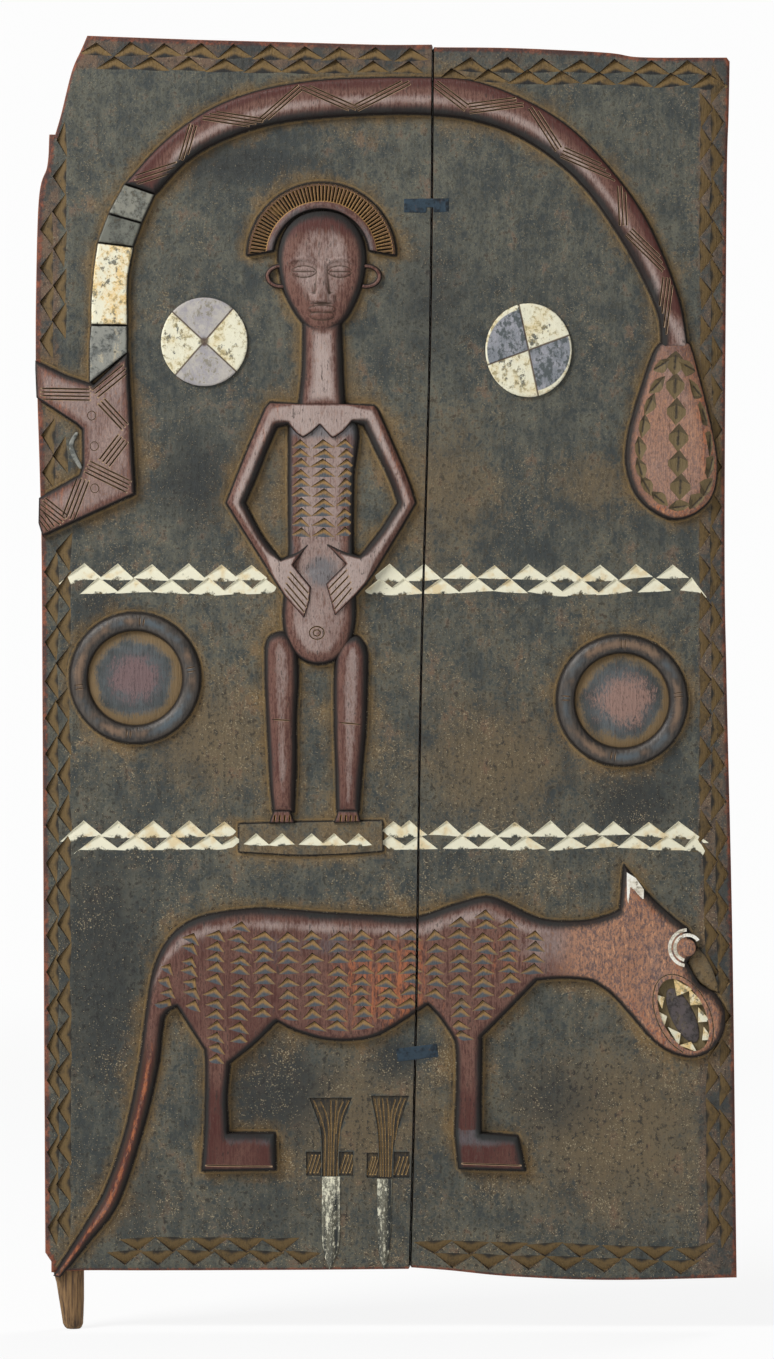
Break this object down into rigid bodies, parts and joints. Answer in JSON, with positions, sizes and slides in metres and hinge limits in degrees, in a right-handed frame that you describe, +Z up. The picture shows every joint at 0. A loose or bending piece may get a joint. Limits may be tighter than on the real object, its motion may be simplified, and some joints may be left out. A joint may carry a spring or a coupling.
{
  "type": "carved wooden door",
  "caption": "Carved plank door leaf tied by flush iron cramps, with figures in relief, chip-cut borders and a wooden pivot peg at its lower corner.",
  "frame": {"origin": "middle of the flat foot of the pivot peg, under the leaf's lower left corner", "axes": "+Z up along the peg and the leaf's height, +X across the leaf towards its free edge, the carved front faces -Y"},
  "size_m": [0.842, 0.046, 1.554],
  "materials": {
    "carved_wood": "dark hand-carved hardwood with a worn patina, red-brown on the raised forms",
    "forged_iron": "hand-forged, blue-black, rough"
  },
  "bodies": {
    "root": {"left_plank": "carved_wood", "right_plank": "carved_wood", "upper_cramp": "forged_iron", "lower_cramp": "forged_iron"}
  },
  "joints": []
}
